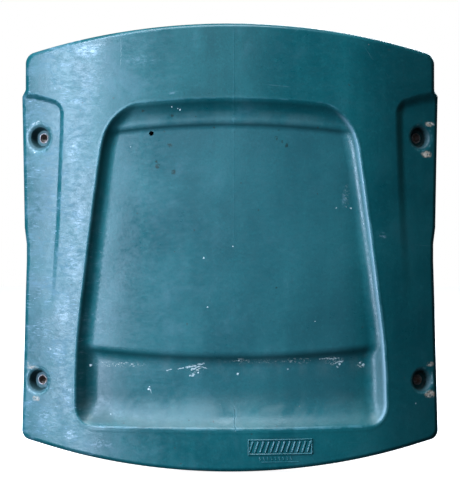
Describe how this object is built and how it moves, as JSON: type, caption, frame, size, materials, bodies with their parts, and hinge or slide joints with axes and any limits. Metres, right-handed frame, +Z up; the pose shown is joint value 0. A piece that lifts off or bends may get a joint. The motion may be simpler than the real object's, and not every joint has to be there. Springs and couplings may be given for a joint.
{
  "type": "stadium seat back",
  "caption": "Curved hollow moulded plastic back for a fixed stadium or auditorium seat, with a trapezoid rear recess, side mounting pads and sleeved bolt wells.",
  "frame": {"origin": "bottom centre of the whole part: mid-width, mid-depth, at the lowest point of the bottom edge", "axes": "+Z up the seat back, +Y out of the concave face towards the sitter, +X to the right when looking at the convex rear face"},
  "size_m": [0.457, 0.0849, 0.472],
  "materials": {
    "moulded_plastic": "dark teal-green high-density polyethylene, semi-gloss, weathered and scuffed",
    "sleeve_steel": "plated steel tube, dulled and lightly rusted in the bore"
  },
  "bodies": {
    "root": {"seat_back_shell": "moulded_plastic", "sleeve_upper_left": "sleeve_steel", "sleeve_upper_right": "sleeve_steel", "sleeve_lower_left": "sleeve_steel", "sleeve_lower_right": "sleeve_steel"}
  },
  "joints": []
}
